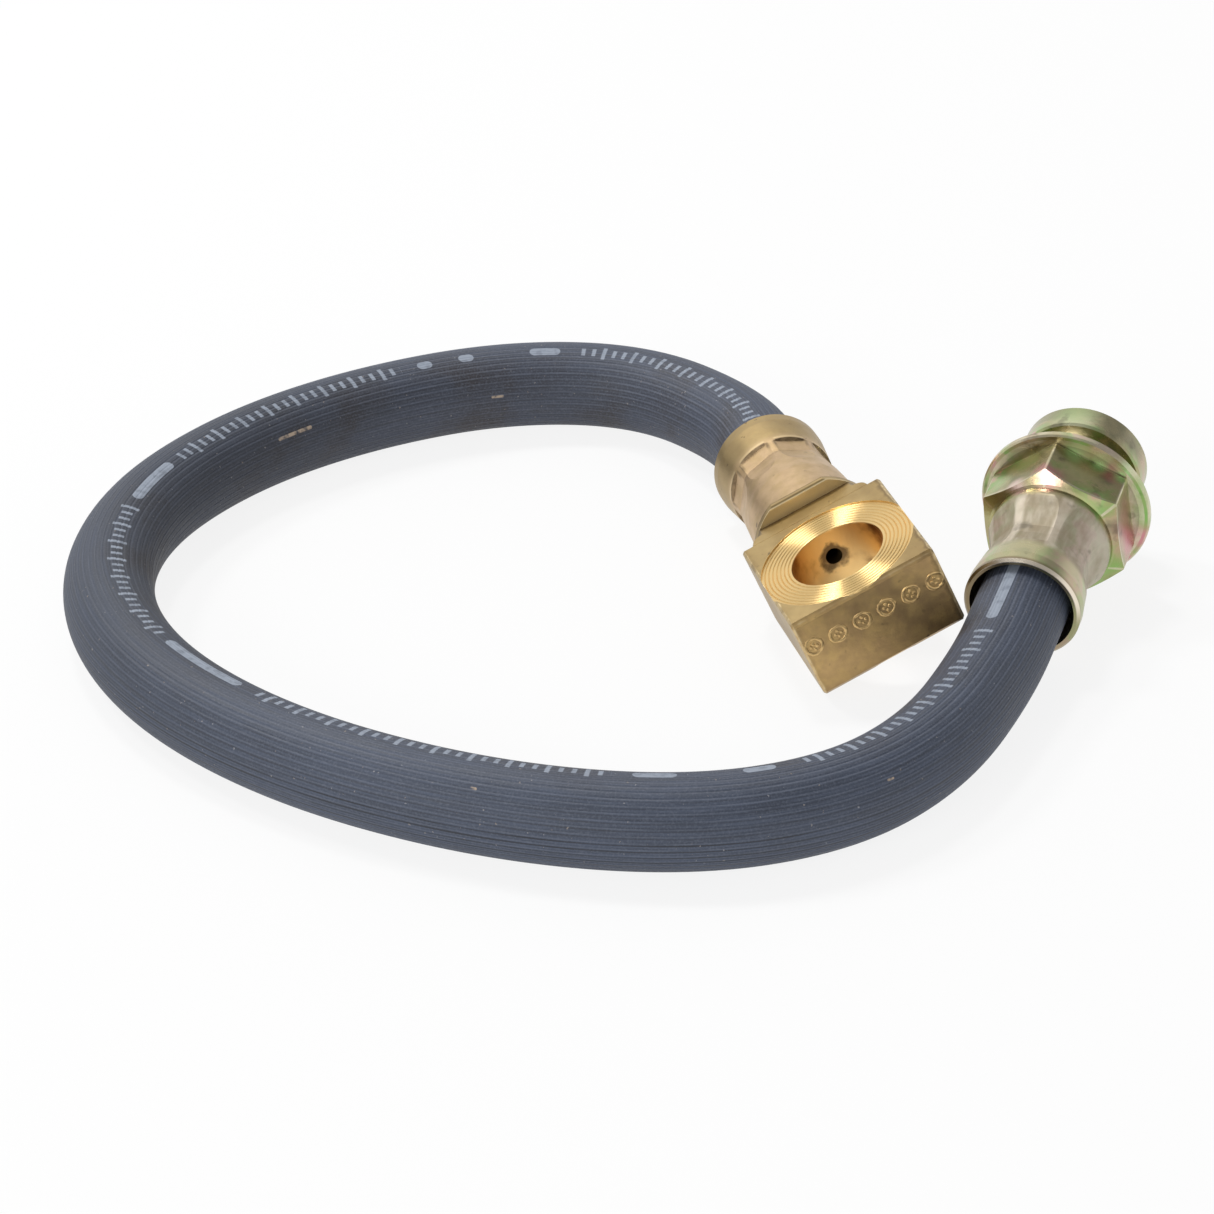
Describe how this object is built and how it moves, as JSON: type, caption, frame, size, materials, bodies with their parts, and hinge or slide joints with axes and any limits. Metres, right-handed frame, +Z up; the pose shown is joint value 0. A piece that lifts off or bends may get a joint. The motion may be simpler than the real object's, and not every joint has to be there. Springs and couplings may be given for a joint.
{
  "type": "hydraulic brake hose assembly",
  "caption": "Flexible hydraulic brake hose with a crimped brass banjo block at one end and a crimped, flanged steel fitting with a female port at the other.",
  "frame": {"origin": "on the plane that the assembly lies on, below the middle of the two end fittings' common box", "axes": "+Z up from that plane; +X and +Y lie in it, with the hose's loop reaching out towards -X"},
  "size_m": [0.127, 0.1126, 0.0201],
  "materials": {
    "cover_rubber": "matt black rubber, ribbed along its length",
    "liner_rubber": "smooth black rubber",
    "cushion_rubber": "black rubber",
    "braid_cord": "braided textile cord",
    "brass": "tarnished brass, bright where it is machined",
    "zinc_steel": "steel with yellow chromate over zinc",
    "stem_steel": "plain steel"
  },
  "bodies": {
    "root": {"hose_liner": "liner_rubber", "inner_braid": "braid_cord", "cushion_layer": "cushion_rubber", "outer_braid": "braid_cord", "hose_cover": "cover_rubber", "banjo_block": "brass", "banjo_stem": "stem_steel", "chassis_fitting": "zinc_steel", "chassis_stem": "stem_steel"}
  },
  "joints": []
}
